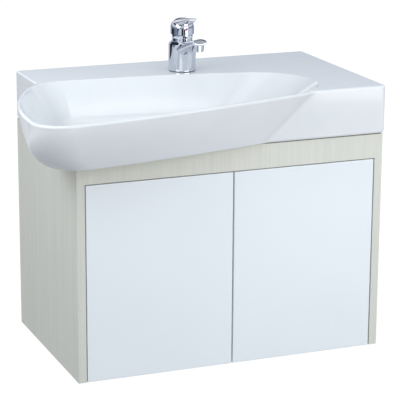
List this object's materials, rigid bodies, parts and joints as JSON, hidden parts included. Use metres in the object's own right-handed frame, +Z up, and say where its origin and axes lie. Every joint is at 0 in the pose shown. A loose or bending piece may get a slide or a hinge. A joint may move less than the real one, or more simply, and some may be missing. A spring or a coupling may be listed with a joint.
{
  "type": "vanity unit with basin",
  "caption": "Wall-hung two-door vanity cabinet under a ceramic basin with an asymmetric leaf-shaped bowl that overhangs it, with mixer, waste and bottle trap.",
  "frame": {"origin": "on the wall plane, midway between the two wall-bolt bores of the rear hanging rail", "axes": "+X to the right seen from the front, +Y into the wall along the bolts, +Z up"},
  "size_m": [0.7408, 0.5176, 0.6467],
  "materials": {
    "ash_laminate": "matt, fine upright grain",
    "gloss_white_lacquer": "high gloss white lacquer on board",
    "beech": "plain turned wood",
    "glazed_ceramic": "white sanitary glaze",
    "chrome": "polished",
    "brass": "machined",
    "nickel_steel": "nickel plated",
    "white_plastic": "moulded polypropylene",
    "clear_bumper": "soft translucent",
    "silicone": "matt",
    "rubber": "matt",
    "mark_enamel": "half red, half blue"
  },
  "bodies": {
    "cabinet": {"left_side_panel": "ash_laminate", "right_side_panel": "ash_laminate", "bottom_panel": "ash_laminate", "top_front_rail": "ash_laminate", "rear_hanging_rail": "ash_laminate", "rear_lower_rail": "ash_laminate", "carcass_dowels": "beech", "left_hinge_arms": "nickel_steel", "right_hinge_arms": "nickel_steel", "left_hinge_plates": "nickel_steel", "right_hinge_plates": "nickel_steel", "left_hinge_plate_screws": "nickel_steel", "right_hinge_plate_screws": "nickel_steel", "door_bumpers": "clear_bumper", "basin_seal": "silicone", "basin": "glazed_ceramic", "waste_flange": "chrome", "waste_washer": "rubber", "waste_gasket": "rubber", "waste_back_nut": "brass", "waste_guide": "white_plastic", "trap_inlet_nut": "white_plastic", "trap_inlet_pipe": "white_plastic", "trap_body": "white_plastic", "trap_bottle_seal": "rubber", "trap_bottle": "white_plastic", "trap_top_nut": "white_plastic", "trap_outlet_nut": "white_plastic", "trap_outlet_pipe": "white_plastic", "mixer_base_gasket": "rubber", "mixer_body": "chrome", "aerator_housing": "chrome", "aerator_insert": "white_plastic", "cartridge": "white_plastic", "cartridge_nut": "brass", "neck_cover": "chrome", "horseshoe_gasket": "rubber", "horseshoe_plate": "nickel_steel", "fixing_stud": "nickel_steel", "fixing_nut": "brass"},
    "left_door": {"left_door": "gloss_white_lacquer", "left_hinge_cups": "nickel_steel", "left_hinge_pins": "nickel_steel", "left_hinge_cup_screws": "nickel_steel"},
    "right_door": {"right_door": "gloss_white_lacquer", "right_hinge_cups": "nickel_steel", "right_hinge_pins": "nickel_steel", "right_hinge_cup_screws": "nickel_steel"},
    "waste_plug": {"waste_plug": "chrome", "plug_seal_ring": "rubber", "plug_stem": "brass"},
    "mixer_rotor": {"cartridge_rotor": "white_plastic", "lift_pin": "nickel_steel"},
    "mixer_lever": {"lever_spindle": "brass", "mixer_lever": "chrome", "lever_screw": "nickel_steel", "hot_cold_mark": "mark_enamel"}
  },
  "joints": [
    {"name": "left_door_swing", "type": "hinge", "parent": "cabinet", "child": "left_door", "pos_m": [-0.275, -0.3764, -0.203], "axis": [0, 0, -1], "range_deg": [0, 95]},
    {"name": "right_door_swing", "type": "hinge", "parent": "cabinet", "child": "right_door", "pos_m": [0.275, -0.3764, -0.203], "axis": [0, 0, 1], "range_deg": [0, 95]},
    {"name": "waste_plug_press", "type": "slide", "parent": "cabinet", "child": "waste_plug", "axis": [0, 0, 1], "range_m": [0, 0.007]},
    {"name": "mixer_turn", "type": "hinge", "parent": "cabinet", "child": "mixer_rotor", "pos_m": [0, -0.11, 0.2094], "axis": [0, 0, 1], "range_deg": [-45, 45]},
    {"name": "mixer_lift", "type": "hinge", "parent": "mixer_rotor", "child": "mixer_lever", "pos_m": [0, -0.11, 0.2094], "axis": [-1, 0, 0], "range_deg": [0, 22]}
  ]
}
